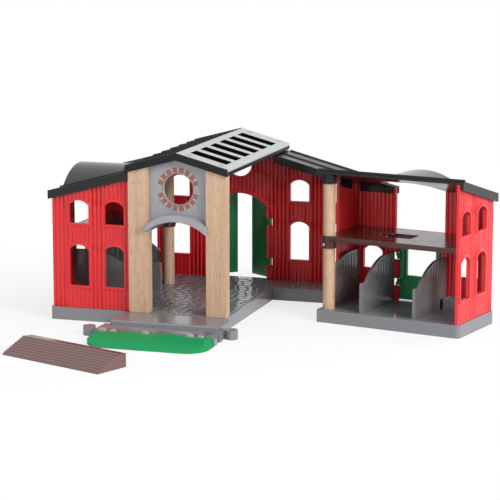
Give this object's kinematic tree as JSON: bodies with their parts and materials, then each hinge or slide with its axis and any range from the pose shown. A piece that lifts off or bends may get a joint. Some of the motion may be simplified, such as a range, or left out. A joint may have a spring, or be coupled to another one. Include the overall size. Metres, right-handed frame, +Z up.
{
  "type": "toy horse stable",
  "caption": "Toy barn with an arched hall, side wings that swing open on vertical pins, stalls and a loft in each wing, hinged doors, track connectors and a loose ramp.",
  "frame": {"origin": "on the ground under the front faces of the pillars, in the plane of symmetry of the hall", "axes": "+X to the right, +Y from the porch to the back wall, +Z up"},
  "size_m": [0.4107, 0.4001, 0.1621],
  "materials": {
    "red_plastic": "moulded boards, satin gloss",
    "grey_plastic": "moulded, satin",
    "dark_grey_plastic": "moulded, satin",
    "black_plastic": "glossy",
    "light_grey_plastic": "fine texture",
    "bank_green_plastic": "satin",
    "stone_grey_plastic": "rough",
    "brick_print": "matte",
    "beech_wood": "plain lacquered beech",
    "green_plastic": "moulded planks, satin gloss",
    "brown_plastic": "glossy",
    "ramp_brown_plastic": "satin"
  },
  "bodies": {
    "building": {"main_base": "grey_plastic", "back_base": "grey_plastic", "porch_slab": "grey_plastic", "front_track": "grey_plastic", "green_bank": "bank_green_plastic", "bank_stones": "stone_grey_plastic", "left_front_pillar": "beech_wood", "right_front_pillar": "beech_wood", "gable_panel": "grey_plastic", "gable_brick_ring": "brick_print", "arch_hood": "grey_plastic", "back_wall": "red_plastic", "left_back_side_wall": "red_plastic", "right_back_side_wall": "red_plastic", "main_roof": "black_plastic", "skylight_plate": "light_grey_plastic", "left_back_roof": "black_plastic", "right_back_roof": "black_plastic"},
    "left_wing": {"left_wing_base": "grey_plastic", "left_wing_front_wall": "red_plastic", "left_wing_outer_wall": "red_plastic", "left_wing_rear_wall": "red_plastic", "left_wing_roof": "black_plastic", "left_wing_dormer": "grey_plastic", "left_wing_loft_floor": "brown_plastic", "left_wing_post": "beech_wood", "left_stall_divider_1": "dark_grey_plastic", "left_stall_divider_2": "dark_grey_plastic", "left_stall_divider_3": "dark_grey_plastic", "left_feed_trough": "grey_plastic"},
    "right_wing": {"right_wing_base": "grey_plastic", "right_wing_front_wall": "red_plastic", "right_wing_outer_wall": "red_plastic", "right_wing_rear_wall": "red_plastic", "right_wing_roof": "black_plastic", "right_wing_dormer": "grey_plastic", "right_wing_loft_floor": "brown_plastic", "right_wing_post": "beech_wood", "right_stall_divider_1": "dark_grey_plastic", "right_stall_divider_2": "dark_grey_plastic", "right_stall_divider_3": "dark_grey_plastic", "right_feed_trough": "grey_plastic"},
    "back_door_left": {"back_door_left": "green_plastic"},
    "back_door_right": {"back_door_right": "green_plastic"},
    "left_stable_door": {"left_stable_door": "green_plastic"},
    "right_stable_door": {"right_stable_door": "green_plastic"},
    "loading_ramp": {"loading_ramp": "ramp_brown_plastic"}
  },
  "joints": [
    {"name": "right_wing_hinge", "type": "hinge", "parent": "building", "child": "right_wing", "pos_m": [0.1328, 0.14675, 0], "axis": [0, 0, 1], "range_deg": [-77.4, 12.6]},
    {"name": "left_wing_hinge", "type": "hinge", "parent": "building", "child": "left_wing", "pos_m": [-0.1328, 0.14675, 0], "axis": [0, 0, -1], "range_deg": [0, 90]},
    {"name": "back_door_right_hinge", "type": "hinge", "parent": "building", "child": "back_door_right", "pos_m": [0.0306, 0.1887, 0], "axis": [0, 0, -1], "range_deg": [-34, 56]},
    {"name": "back_door_left_hinge", "type": "hinge", "parent": "building", "child": "back_door_left", "pos_m": [-0.0306, 0.1887, 0], "axis": [0, 0, 1], "range_deg": [-41, 49]},
    {"name": "right_stable_door_hinge", "type": "hinge", "parent": "right_wing", "child": "right_stable_door", "pos_m": [0.17568, 0.1261, 0], "axis": [0, 0, 1], "range_deg": [0, 90]},
    {"name": "left_stable_door_hinge", "type": "hinge", "parent": "left_wing", "child": "left_stable_door", "pos_m": [-0.122, 0.1004, 0], "axis": [0, 0, -1], "range_deg": [0, 90]},
    {"name": "loading_ramp_slide", "type": "slide", "parent": "building", "child": "loading_ramp", "axis": [-0.3688, -0.9295, 0], "range_m": [0, 0.08]}
  ]
}
